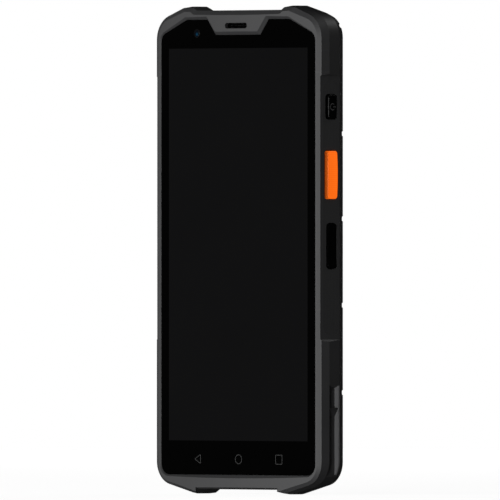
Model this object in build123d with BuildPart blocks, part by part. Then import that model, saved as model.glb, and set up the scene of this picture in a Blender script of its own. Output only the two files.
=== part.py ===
from build123d import *
import math
import os

os.makedirs("parts", exist_ok=True)

# Sizes are millimetres. +Z is up the long side, the screen faces -Y, +X is the side with the orange key.
# "top" and "bottom" distances of a feature are measured down from the top end of the case.
# "depth" is measured back from the face of the cover glass.
HEIGHT = 155.2
HALF_WIDTH = 38.0
GLASS_Y = -6.5

# Case levels, as depths
RIM_RISE = 1.0
RIM_RADIUS = 925.0
FACE_EDGE_DEPTH = 0.385
BEVEL_HEIGHT = 1.45
BEVEL_TOP_INSET = 1.6
BEVEL_FOOT_INSET = 0.6
BEVEL_SIDE_INSET = 2.85
PARTING_DEPTH = 3.0
SIDE_END_DEPTH = 7.5
# Depth, inset of the outline, and inset at the foot, for each level of the rounded back
BACK_LEVELS = [(9.95, 0.9, 0.2), (12.75, 4.0, 3.2), (13.2, 4.6, 3.8)]
BACK_DEPTH = 13.2
PLATEAU_DEPTH = 14.0
BACK_WALL_DEPTH = 11.3

# Glass and screen
GLASS_HALF_WIDTH = 34.55
GLASS_THICKNESS = 1.1
LEDGE_DEPTH = 1.3
GLASS_CLEARANCE = 0.1
OPENING_HALF_WIDTH = 33.2
OPENING_TOP = 11.2
OPENING_BOTTOM = 147.3
CAMERA_X = 18.5
CAMERA_TOP = 8.5
EARPIECE_TOP = 6.24

# Inner space of the rear housing
CAVITY_HALF_WIDTH = 33.8
CAVITY_TOP = 4.0
CAVITY_BOTTOM = 150.6
CHASSIS_BACK = 4.0
BOARD_FRONT = 5.0
BOARD_BACK = 5.9

# Battery bay and cover
BAY_HALF_WIDTH = 29.6
BAY_TOP = 61.4
BAY_BOTTOM = 134.6
BAY_FLOOR_FRONT = 4.4
BAY_FLOOR_BACK = 5.2
COVER_HALF_WIDTH = 31.6
COVER_TOP = 59.4
COVER_BOTTOM = 143.0
COVER_FRONT = 12.6
COVER_SEAT = 12.3
LOCK_X = 23.5
LOCK_TOP = 138.9

# Waist and grips
WAIST_TOP = 22.5
WAIST_BOTTOM = 106.0
WAIST_EDGE_X = 36.7
WAIST_EDGE_DEPTH = 0.35
WAIST_BACK_DEPTH = 8.0
GRIP_THICKNESS = 0.8

# Side keys: front depth, back depth, top, bottom of each recess
POWER_RECESS = (2.15, 6.67, 28.1, 36.3)
SCAN_RECESS = (1.8, 6.8, 45.8, 61.6)
VOLUME_RECESS = (2.5, 6.67, 69.0, 83.7)
RECESS_FLOOR_X = 35.2
ROCKER_PIVOT = (36.2, 76.35)
STEM_FRONT = 4.2
STEM_BACK = 5.6
STEM_SLACK = 0.2
POWER_STEMS = [(31.2, 33.2)]
SCAN_STEMS = [(51.7, 55.7)]
VOLUME_STEMS = [(71.9, 73.5), (79.2, 80.8)]

# Notches across the rear edge: where each cut starts and its distance from the top
REAR_NOTCHES = [(38.0, 6.2), (39.0, 40.7), (39.0, 67.7), (39.0, 95.1), (39.0, 122.8)]

# Accessory rail
RAIL_FLOOR_X = 36.3
RAIL_STRIP = 0.5

# Screws
SCREW_X = 28.4
SCREW_TOPS = [7.6, 147.8]
CHASSIS_SCREW = (27.0, 55.5)
SCREW_HEAD_FRONT = 9.0
BOARD_SCREWS = [(25.0, 18.0), (25.0, 48.0)]
SUB_BOARD_SCREW = (15.5, 143.0)

# USB flap hinge
FLAP_AXIS_DEPTH = 8.9
FLAP_AXIS_Z = 2.5


def at_depth(depth):
    return Plane.XZ.offset(-(GLASS_Y + depth))


def y_at(depth):
    return GLASS_Y + depth


def z_at(top):
    return HEIGHT - top


def face_box(x0, x1, top, bottom, radius=0.0):
    # A rectangle seen from the front, between two X values and two distances from the top.
    with BuildSketch() as area:
        with Locations(((x0 + x1) / 2, z_at((top + bottom) / 2))):
            if radius:
                RectangleRounded(x1 - x0, bottom - top, radius)
            else:
                Rectangle(x1 - x0, bottom - top)
    return area.sketch


def face_discs(places, radius):
    # Discs seen from the front, at (X, distance from the top) places.
    with BuildSketch() as area:
        with Locations([(x, z_at(top)) for x, top in places]):
            Circle(radius)
    return area.sketch


def side_box(front, back, top, bottom, radius=0.0):
    # A rectangle seen from the side, between two depths and two distances from the top.
    with BuildSketch() as area:
        with Locations(((y_at(front) + y_at(back)) / 2, z_at((top + bottom) / 2))):
            if radius:
                RectangleRounded(back - front, bottom - top, radius)
            else:
                Rectangle(back - front, bottom - top)
    return area.sketch


def both_sides(places):
    return [(side * x, top) for x, top in places for side in (1, -1)]


def crossing(first, second):
    # Where two lines meet, each given as a point and a direction.
    (px, py), (dx, dy) = first
    (qx, qy), (ex, ey) = second
    along = ((qx - px) * ey - (qy - py) * ex) / (dx * ey - dy * ex)
    return (px + along * dx, py + along * dy)


def shrunk(points, top_inset, side_inset, foot_inset):
    # The right half of an outline moved inwards, keeping one point for each point it had.
    # The edges at the top, the long side and the foot have an inset each, the slanted ones the mean.
    if side_inset == 0:
        return points
    chain = [(0.0, points[0][1])] + points + [(0.0, points[-1][1])]
    insets = [top_inset] * 3 + [(top_inset + side_inset) / 2, side_inset]
    insets += [(foot_inset + side_inset) / 2] + [foot_inset] * 3
    lines = []
    for (ax, ay), (bx, by), inset in zip(chain, chain[1:], insets):
        length = math.hypot(bx - ax, by - ay)
        dx, dy = (bx - ax) / length, (by - ay) / length
        lines.append(((ax + dy * inset, ay - dx * inset), (dx, dy)))
    moved = [crossing(a, b) for a, b in zip(lines, lines[1:])]
    if moved[5][0] < moved[6][0] + 0.2:
        middle = (moved[5][0] + moved[6][0]) / 2
        moved[5] = (middle + 0.1, moved[5][1])
        moved[6] = (middle - 0.1, moved[6][1])
    return moved


def case_outline(points, top_radius, bottom_radius):
    # A closed outline from its right half; the two outer corners are rounded.
    left = [(-x, z) for x, z in reversed(points)]
    radii = [0.0, 0.0, 0.0, top_radius, bottom_radius, 0.0, 0.0, 0.0]
    with BuildSketch() as area:
        with BuildLine():
            FilletPolyline(*points, *left, radius=radii + radii[::-1], close=True)
        make_face()
    return area.sketch


# Right half of the case outline at the parting line and at the front edge
BODY_POINTS = [
    (18.9, z_at(1.3)),
    (21.5, z_at(0.0)),
    (23.6, z_at(0.0)),
    (HALF_WIDTH, z_at(3.94)),
    (HALF_WIDTH, 4.09),
    (21.3, 0.0),
    (20.3, 0.0),
    (17.5, 1.4),
]
FRONT_POINTS = [
    (19.0, z_at(1.35)),
    (20.4, z_at(0.5)),
    (25.0, z_at(0.5)),
    (37.05, z_at(4.93)),
    (37.05, 4.375),
    (20.7, 0.35),
    (19.9, 0.35),
    (18.3, 1.5),
]
BODY_OUTLINE = case_outline(BODY_POINTS, 8.2, 8.5)
FRONT_OUTLINE = case_outline(FRONT_POINTS, 8.1, 7.5)


def glass_outline(grow):
    # The cover glass: ears at the top corners and a notch between them.
    half = GLASS_HALF_WIDTH
    points = [
        (10.0, z_at(9.2)),
        (13.8, z_at(4.3)),
        (23.0, z_at(4.3)),
        (half, z_at(9.33)),
        (half, z_at(149.1)),
    ]
    left = [(-x, z) for x, z in reversed(points)]
    radii = [0.0, 0.0, 0.0, 3.0, 3.5]
    with BuildSketch() as area:
        with BuildLine():
            FilletPolyline(*points, *left, radius=radii + radii[::-1], close=True)
        make_face()
        if grow:
            offset(amount=grow, kind=Kind.INTERSECTION)
    return area.sketch


def waist_plane(side):
    run = WAIST_BACK_DEPTH - WAIST_EDGE_DEPTH
    rise = HALF_WIDTH - WAIST_EDGE_X
    length = math.hypot(run, rise)
    middle = z_at((WAIST_TOP + WAIST_BOTTOM) / 2)
    return Plane(
        origin=(side * WAIST_EDGE_X, y_at(WAIST_EDGE_DEPTH), middle),
        x_dir=(side * rise / length, run / length, 0),
        z_dir=(side * run / length, -rise / length, 0),
    )


def waist_area():
    with BuildSketch() as area:
        with Locations((2.5, 0)):
            RectangleRounded(13.0, WAIST_BOTTOM - WAIST_TOP, 2.0)
    return area.sketch


def grip_area():
    with BuildSketch() as area:
        with Locations((4.15, 0)):
            RectangleRounded(6.3, WAIST_BOTTOM - WAIST_TOP - 3.0, 2.5)
    return area.sketch


def key_areas(side):
    # The key recesses of one side.
    recesses = [SCAN_RECESS]
    if side > 0:
        recesses = [POWER_RECESS, SCAN_RECESS, VOLUME_RECESS]
    with BuildSketch() as area:
        for front, back, top, bottom in recesses:
            add(side_box(front, back, top, bottom, 1.2))
    return area.sketch


def stem_areas(side, slack):
    # The key stems of one side, grown by a slack.
    stems = SCAN_STEMS
    if side > 0:
        stems = POWER_STEMS + SCAN_STEMS + VOLUME_STEMS
    with BuildSketch() as area:
        for top, bottom in stems:
            add(side_box(STEM_FRONT - slack, STEM_BACK + slack, top - slack, bottom + slack))
    return area.sketch


def rail_area(side):
    # The accessory rail: a closed upper notch, then a ramp into a groove open at the bottom.
    floor = RAIL_FLOOR_X
    notch = [(41.0, 118.9), (floor, 121.5), (floor, 127.7), (41.0, 127.7)]
    ramp = [(41.0, 127.7), (HALF_WIDTH, 127.7), (floor, 130.4), (floor, 158.0), (41.0, 158.0)]
    with BuildSketch() as area:
        for points in (notch, ramp):
            with BuildLine():
                Polyline(*[(side * x, z_at(top)) for x, top in points], close=True)
            make_face()
    return area.sketch


def seal_ring(half, top, bottom, radius, width):
    with BuildSketch() as area:
        add(face_box(-half, half, top, bottom, radius))
        offset(amount=-width, mode=Mode.SUBTRACT)
    return area.sketch


CASE_SCREWS = both_sides([(SCREW_X, top) for top in SCREW_TOPS])
HOUSING_SCREWS = CASE_SCREWS + both_sides([CHASSIS_SCREW])
HOUSING_SEAL = seal_ring(34.8, 2.6, 152.2, 6.9, 0.7)
SENSOR_WINDOWS = [(-22.0, -15.0), (15.0, 22.0)]

with BuildPart() as front_frame:
    with BuildSketch(at_depth(PARTING_DEPTH)):
        add(BODY_OUTLINE)
    with BuildSketch(at_depth(FACE_EDGE_DEPTH)):
        add(FRONT_OUTLINE)
    loft(ruled=True)
    # the outer bevel, then the shallow curve of the front face
    with BuildSketch(at_depth(FACE_EDGE_DEPTH)):
        add(FRONT_OUTLINE)
    with BuildSketch(at_depth(FACE_EDGE_DEPTH - BEVEL_HEIGHT)):
        bevel_points = shrunk(FRONT_POINTS, BEVEL_TOP_INSET, BEVEL_SIDE_INSET, BEVEL_FOOT_INSET)
        add(case_outline(bevel_points, 8.1 - BEVEL_SIDE_INSET, 7.5 - BEVEL_SIDE_INSET))
    loft(ruled=True)
    with Locations((0, y_at(-RIM_RISE) + RIM_RADIUS, HEIGHT / 2)):
        Cylinder(RIM_RADIUS, HEIGHT + 20, mode=Mode.INTERSECT)
    with BuildSketch(at_depth(0)):
        add(glass_outline(GLASS_CLEARANCE))
    with BuildSketch(at_depth(-1.4)):
        add(glass_outline(GLASS_CLEARANCE + 1.4))
    loft(ruled=True, mode=Mode.SUBTRACT)
    with BuildSketch(at_depth(LEDGE_DEPTH)):
        add(glass_outline(GLASS_CLEARANCE))
    extrude(amount=LEDGE_DEPTH, mode=Mode.SUBTRACT)
    with BuildSketch(at_depth(PARTING_DEPTH)):
        add(face_box(-OPENING_HALF_WIDTH, OPENING_HALF_WIDTH, OPENING_TOP, OPENING_BOTTOM))
        for x0, x1 in SENSOR_WINDOWS:
            add(face_box(x0, x1, 5.5, OPENING_TOP + 0.5))
    extrude(amount=PARTING_DEPTH, mode=Mode.SUBTRACT)
    # earpiece: slot, mesh step and speaker pocket
    with BuildSketch(at_depth(PARTING_DEPTH)):
        with Locations((0, z_at(EARPIECE_TOP))):
            SlotOverall(9.9, 1.8)
    extrude(amount=PARTING_DEPTH + 2, mode=Mode.SUBTRACT)
    with BuildSketch(at_depth(PARTING_DEPTH)):
        with Locations((0, z_at(EARPIECE_TOP))):
            SlotOverall(10.9, 2.8)
    extrude(amount=PARTING_DEPTH - 0.3, mode=Mode.SUBTRACT)
    with BuildSketch(at_depth(PARTING_DEPTH)):
        add(face_box(-6.1, 6.1, EARPIECE_TOP - 2.4, EARPIECE_TOP + 2.4))
    extrude(amount=PARTING_DEPTH - 0.9, mode=Mode.SUBTRACT)
    # screw bosses
    with BuildSketch(at_depth(BOARD_FRONT)):
        add(face_discs(CASE_SCREWS, 2.4))
    extrude(amount=BOARD_FRONT - PARTING_DEPTH)
    with BuildSketch(at_depth(BOARD_FRONT)):
        add(face_discs(CASE_SCREWS, 1.0))
    extrude(amount=BOARD_FRONT - 2.2, mode=Mode.SUBTRACT)
    # groove for the housing seal
    with BuildSketch(at_depth(PARTING_DEPTH)):
        add(HOUSING_SEAL)
    extrude(amount=0.5, mode=Mode.SUBTRACT)
    for side in (1, -1):
        with BuildSketch(waist_plane(side)):
            add(waist_area())
        extrude(amount=3.0, taper=-40, mode=Mode.SUBTRACT)
        with BuildSketch(waist_plane(side)):
            add(grip_area())
        extrude(amount=-GRIP_THICKNESS, mode=Mode.SUBTRACT)
        with BuildSketch(Plane.YZ.offset(side * RECESS_FLOOR_X)):
            add(key_areas(side))
        extrude(amount=side * 5.0, mode=Mode.SUBTRACT)
front_frame.part.label = "front_frame"
export_step(front_frame.part, "parts/front_frame.step")

with BuildPart() as cover_glass:
    with BuildSketch(at_depth(GLASS_THICKNESS)):
        add(glass_outline(0))
    extrude(amount=GLASS_THICKNESS)
    front = cover_glass.faces().sort_by(Axis.Y)[0]
    chamfer(front.outer_wire().edges(), length=0.12)
cover_glass.part.label = "cover_glass"
export_step(cover_glass.part, "parts/cover_glass.step")

with BuildPart() as glass_seal:
    with BuildSketch(at_depth(LEDGE_DEPTH)):
        add(glass_outline(-0.15))
        add(face_box(-33.3, 33.3, 11.1, 147.4), mode=Mode.SUBTRACT)
        for x0, x1 in SENSOR_WINDOWS:
            add(face_box(x0, x1, 5.5, 11.6), mode=Mode.SUBTRACT)
    extrude(amount=LEDGE_DEPTH - GLASS_THICKNESS)
glass_seal.part.label = "glass_seal"
export_step(glass_seal.part, "parts/glass_seal.step")

with BuildPart() as display_panel:
    with BuildSketch(at_depth(2.9)):
        add(face_box(-32.9, 32.9, 11.6, 141.6))
    extrude(amount=2.9 - GLASS_THICKNESS)
display_panel.part.label = "display_panel"
export_step(display_panel.part, "parts/display_panel.step")

with BuildPart() as touch_key_strip:
    with BuildSketch(at_depth(1.6)):
        add(face_box(-24.0, 24.0, 142.3, 146.9, 1.0))
    extrude(amount=1.6 - GLASS_THICKNESS)
touch_key_strip.part.label = "touch_key_strip"
export_step(touch_key_strip.part, "parts/touch_key_strip.step")

with BuildPart() as front_camera:
    with BuildSketch(at_depth(4.8)):
        add(face_box(-21.5, -15.5, 5.8, 11.1, 0.6))
    extrude(amount=4.8 - 1.7)
    with BuildSketch(at_depth(1.7)):
        add(face_discs([(-CAMERA_X, CAMERA_TOP)], 2.2))
    extrude(amount=1.7 - GLASS_THICKNESS)
front_camera.part.label = "front_camera"
export_step(front_camera.part, "parts/front_camera.step")

with BuildPart() as proximity_sensor:
    with BuildSketch(at_depth(2.6)):
        add(face_box(16.4, 20.6, 7.0, 10.2, 0.4))
    extrude(amount=2.6 - GLASS_THICKNESS)
proximity_sensor.part.label = "proximity_sensor"
export_step(proximity_sensor.part, "parts/proximity_sensor.step")

with BuildPart() as earpiece_mesh:
    with BuildSketch(at_depth(0.6)):
        with Locations((0, z_at(EARPIECE_TOP))):
            SlotOverall(10.8, 2.7)
        with Locations((0, z_at(EARPIECE_TOP))):
            with GridLocations(0.62, 0.62, 14, 3):
                Circle(0.2, mode=Mode.SUBTRACT)
    extrude(amount=0.3)
earpiece_mesh.part.label = "earpiece_mesh"
export_step(earpiece_mesh.part, "parts/earpiece_mesh.step")

with BuildPart() as earpiece_speaker:
    with BuildSketch(at_depth(2.9)):
        add(face_box(-6.0, 6.0, EARPIECE_TOP - 2.3, EARPIECE_TOP + 2.3, 0.8))
    extrude(amount=2.0)
earpiece_speaker.part.label = "earpiece_speaker"
export_step(earpiece_speaker.part, "parts/earpiece_speaker.step")

with BuildPart() as mid_chassis:
    with BuildSketch(at_depth(CHASSIS_BACK)):
        add(face_box(-33.7, 33.7, 10.0, 148.6, 6.0))
        for x0, x1 in SENSOR_WINDOWS:
            add(face_box(x0 - 0.2, x1 + 0.2, 8.0, 12.4), mode=Mode.SUBTRACT)
        add(face_discs(CASE_SCREWS, 2.7), mode=Mode.SUBTRACT)
    extrude(amount=CHASSIS_BACK - PARTING_DEPTH)
    with BuildSketch(at_depth(BOARD_FRONT)):
        add(face_discs(both_sides(BOARD_SCREWS), 2.0))
        add(face_discs(both_sides([CHASSIS_SCREW]), 2.4))
    extrude(amount=BOARD_FRONT - CHASSIS_BACK)
    with BuildSketch(at_depth(BOARD_FRONT)):
        add(face_discs(both_sides(BOARD_SCREWS), 0.7))
        add(face_discs(both_sides([CHASSIS_SCREW]), 1.0))
    extrude(amount=BOARD_FRONT - PARTING_DEPTH - 0.15, mode=Mode.SUBTRACT)
mid_chassis.part.label = "mid_chassis"
export_step(mid_chassis.part, "parts/mid_chassis.step")

with BuildPart() as main_board:
    with BuildSketch(at_depth(BOARD_BACK)):
        add(face_box(-31.0, 31.0, 14.0, 52.0, 1.5))
        add(face_discs(both_sides(BOARD_SCREWS), 0.8), mode=Mode.SUBTRACT)
    extrude(amount=BOARD_BACK - BOARD_FRONT)
main_board.part.label = "main_board"
export_step(main_board.part, "parts/main_board.step")

with BuildPart() as shield_cans:
    with BuildSketch(at_depth(7.2)):
        add(face_box(-19.0, -2.0, 20.0, 46.0, 0.8))
        add(face_box(2.0, 19.5, 20.0, 33.0, 0.8))
        add(face_box(2.0, 19.5, 35.0, 46.0, 0.8))
    extrude(amount=7.2 - BOARD_BACK)
shield_cans.part.label = "shield_cans"
export_step(shield_cans.part, "parts/shield_cans.step")

with BuildPart() as board_screws:
    with BuildSketch(at_depth(6.7)):
        add(face_discs(both_sides(BOARD_SCREWS), 1.6))
    extrude(amount=6.7 - BOARD_BACK)
    with BuildSketch(at_depth(BOARD_BACK)):
        add(face_discs(both_sides(BOARD_SCREWS), 0.68))
    extrude(amount=2.5)
    with BuildSketch(at_depth(7.8)):
        add(face_discs(both_sides([SUB_BOARD_SCREW]), 1.6))
    extrude(amount=0.8)
    with BuildSketch(at_depth(10.3)):
        add(face_discs(both_sides([SUB_BOARD_SCREW]), 0.68))
    extrude(amount=2.5)
board_screws.part.label = "board_screws"
export_step(board_screws.part, "parts/board_screws.step")

with BuildPart() as vibration_motor:
    with BuildSketch(at_depth(8.3)):
        add(face_discs([(-25.5, 36.0)], 4.0))
    extrude(amount=8.3 - BOARD_BACK)
vibration_motor.part.label = "vibration_motor"
export_step(vibration_motor.part, "parts/vibration_motor.step")

with BuildPart() as loudspeaker:
    with BuildSketch(at_depth(BACK_WALL_DEPTH)):
        add(face_box(-29.0, -13.0, 17.5, 29.5, 1.5))
    extrude(amount=2.6)
loudspeaker.part.label = "loudspeaker"
export_step(loudspeaker.part, "parts/loudspeaker.step")

with BuildPart() as speaker_mesh:
    with BuildSketch(at_depth(BACK_WALL_DEPTH + 0.3)):
        add(face_box(-27.0, -15.0, 21.0, 26.0, 1.2))
        with Locations((-21.0, z_at(23.5))):
            with GridLocations(0.9, 0.9, 12, 4):
                Circle(0.28, mode=Mode.SUBTRACT)
    extrude(amount=0.3)
speaker_mesh.part.label = "speaker_mesh"
export_step(speaker_mesh.part, "parts/speaker_mesh.step")

with BuildPart() as scan_engine:
    with BuildSketch(at_depth(BACK_WALL_DEPTH)):
        add(face_box(-10.5, 10.5, 4.3, 13.3, 0.5))
    extrude(amount=BACK_WALL_DEPTH - 4.3)
    # the imaging lens and the two light openings
    with BuildSketch(Plane.XY.offset(z_at(5.6))):
        with Locations((0, y_at(6.4))):
            Circle(2.0)
        with Locations((7.0, y_at(6.4)), (-7.0, y_at(6.4))):
            Circle(1.2)
    extrude(amount=3.0, mode=Mode.SUBTRACT)
    with BuildSketch(Plane.XY.offset(z_at(5.6))):
        with Locations((0, y_at(6.4))):
            Circle(1.4)
        with Locations((7.0, y_at(6.4)), (-7.0, y_at(6.4))):
            Circle(0.7)
    extrude(amount=0.8)
scan_engine.part.label = "scan_engine"
export_step(scan_engine.part, "parts/scan_engine.step")

with BuildPart() as scan_window:
    with BuildSketch(Plane.XY.offset(z_at(2.9))):
        with Locations((0, y_at(6.2))):
            RectangleRounded(18.4, 5.2, 1.0)
    extrude(amount=1.0)
scan_window.part.label = "scan_window"
export_step(scan_window.part, "parts/scan_window.step")

with BuildPart() as rear_camera:
    with BuildSketch(at_depth(BACK_WALL_DEPTH)):
        add(face_box(5.5, 14.5, 25.5, 34.5, 0.8))
    extrude(amount=BACK_WALL_DEPTH - 7.6)
    with BuildSketch(at_depth(12.7)):
        add(face_discs([(10.0, 30.0)], 3.5))
    extrude(amount=12.7 - BACK_WALL_DEPTH)
rear_camera.part.label = "rear_camera"
export_step(rear_camera.part, "parts/rear_camera.step")

with BuildPart() as camera_ring:
    with BuildSketch(at_depth(PLATEAU_DEPTH)):
        add(face_box(2.8, 29.2, 23.5, 36.5, 6.4))
        add(face_discs([(10.0, 30.0)], 4.4), mode=Mode.SUBTRACT)
        add(face_discs([(22.0, 30.0)], 2.1), mode=Mode.SUBTRACT)
    extrude(amount=PLATEAU_DEPTH - BACK_DEPTH)
    outer = camera_ring.faces().sort_by(Axis.Y)[-1]
    chamfer(outer.outer_wire().edges(), length=0.4)
camera_ring.part.label = "camera_ring"
export_step(camera_ring.part, "parts/camera_ring.step")

with BuildPart() as camera_window:
    with BuildSketch(at_depth(13.8)):
        add(face_discs([(10.0, 30.0)], 4.35))
    extrude(amount=13.8 - BACK_DEPTH)
camera_window.part.label = "camera_window"
export_step(camera_window.part, "parts/camera_window.step")

with BuildPart() as flash_lens:
    with BuildSketch(at_depth(13.8)):
        add(face_discs([(22.0, 30.0)], 2.05))
    extrude(amount=1.0)
flash_lens.part.label = "flash_lens"
export_step(flash_lens.part, "parts/flash_lens.step")

with BuildPart() as sub_board:
    with BuildSketch(at_depth(8.6)):
        add(face_box(-18.5, 18.5, 138.0, 150.2, 1.0))
        add(face_discs(both_sides([SUB_BOARD_SCREW]), 0.8), mode=Mode.SUBTRACT)
    extrude(amount=0.8)
sub_board.part.label = "sub_board"
export_step(sub_board.part, "parts/sub_board.step")

with BuildPart() as usb_socket:
    with BuildSketch(Plane.XY.offset(4.0)):
        with Locations((0, y_at(6.2))):
            RectangleRounded(9.0, 3.2, 1.2)
    extrude(amount=7.0)
    with BuildSketch(Plane.XY.offset(4.0)):
        with Locations((0, y_at(6.2))):
            RectangleRounded(8.4, 2.6, 1.1)
    extrude(amount=6.0, mode=Mode.SUBTRACT)
    with BuildSketch(Plane.XY.offset(4.6)):
        with Locations((0, y_at(6.2))):
            RectangleRounded(6.7, 0.7, 0.3)
    extrude(amount=5.8)
usb_socket.part.label = "usb_socket"
export_step(usb_socket.part, "parts/usb_socket.step")

with BuildPart() as usb_hinge_pin:
    with BuildSketch(Plane.YZ.offset(-8.3)):
        with Locations((y_at(FLAP_AXIS_DEPTH), FLAP_AXIS_Z)):
            Circle(0.45)
    extrude(amount=16.6)
usb_hinge_pin.part.label = "usb_hinge_pin"
export_step(usb_hinge_pin.part, "parts/usb_hinge_pin.step")

with BuildPart() as usb_flap:
    with BuildSketch(Plane.XY.offset(1.4)):
        with Locations((0, (y_at(4.25) + y_at(FLAP_AXIS_DEPTH)) / 2)):
            Rectangle(13.3, FLAP_AXIS_DEPTH - 4.25)
    extrude(amount=1.1)
    with BuildSketch(Plane.XY.offset(2.5)):
        with Locations((0, y_at(6.2))):
            RectangleRounded(7.6, 2.2, 1.0)
    extrude(amount=0.7)
    with BuildSketch(Plane.YZ.offset(-6.65)):
        with Locations((y_at(FLAP_AXIS_DEPTH), FLAP_AXIS_Z)):
            Circle(0.85)
    extrude(amount=13.3)
    with BuildSketch(Plane.YZ.offset(-7.0)):
        with Locations((y_at(FLAP_AXIS_DEPTH), FLAP_AXIS_Z)):
            Circle(0.52)
    extrude(amount=14.0, mode=Mode.SUBTRACT)
    # a finger lip along the front edge
    with BuildSketch(Plane.XY.offset(1.4)):
        with Locations((0, y_at(4.25))):
            Rectangle(5.0, 0.8)
    extrude(amount=0.4, mode=Mode.SUBTRACT)
usb_flap.part.label = "usb_flap"
export_step(usb_flap.part, "parts/usb_flap.step")

with BuildPart() as microphone:
    with BuildSketch(at_depth(7.8)):
        add(face_box(9.5, 12.5, 146.5, 150.0, 0.3))
    extrude(amount=1.1)
microphone.part.label = "microphone"
export_step(microphone.part, "parts/microphone.step")

with BuildPart() as dock_contact_holder:
    with BuildSketch(at_depth(BACK_DEPTH - 0.1)):
        add(face_box(-9.0, 9.0, 144.4, 147.6, 1.0))
        add(face_discs([(-6.0, 146.0), (-2.0, 146.0), (2.0, 146.0), (6.0, 146.0)], 0.8), mode=Mode.SUBTRACT)
    extrude(amount=0.7)
dock_contact_holder.part.label = "dock_contact_holder"
export_step(dock_contact_holder.part, "parts/dock_contact_holder.step")

with BuildPart() as dock_contacts:
    with BuildSketch(at_depth(BACK_DEPTH + 0.1)):
        add(face_discs([(-6.0, 146.0), (-2.0, 146.0), (2.0, 146.0), (6.0, 146.0)], 0.78))
    extrude(amount=BACK_DEPTH + 0.1 - 8.6)
dock_contacts.part.label = "dock_contacts"
export_step(dock_contacts.part, "parts/dock_contacts.step")

with BuildPart() as board_ribbon:
    with BuildSketch(Plane.YZ.offset(-6.0)):
        add(side_box(4.05, 4.25, 49.0, 140.2))
        add(side_box(4.05, 5.0, 49.0, 51.5))
        add(side_box(4.05, 7.8, 139.0, 140.2))
    extrude(amount=12.0)
board_ribbon.part.label = "board_ribbon"
export_step(board_ribbon.part, "parts/board_ribbon.step")

BAY_RIM = seal_ring(BAY_HALF_WIDTH + 1.0, BAY_TOP - 1.0, BAY_BOTTOM + 1.0, 3.4, 0.7)

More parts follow.
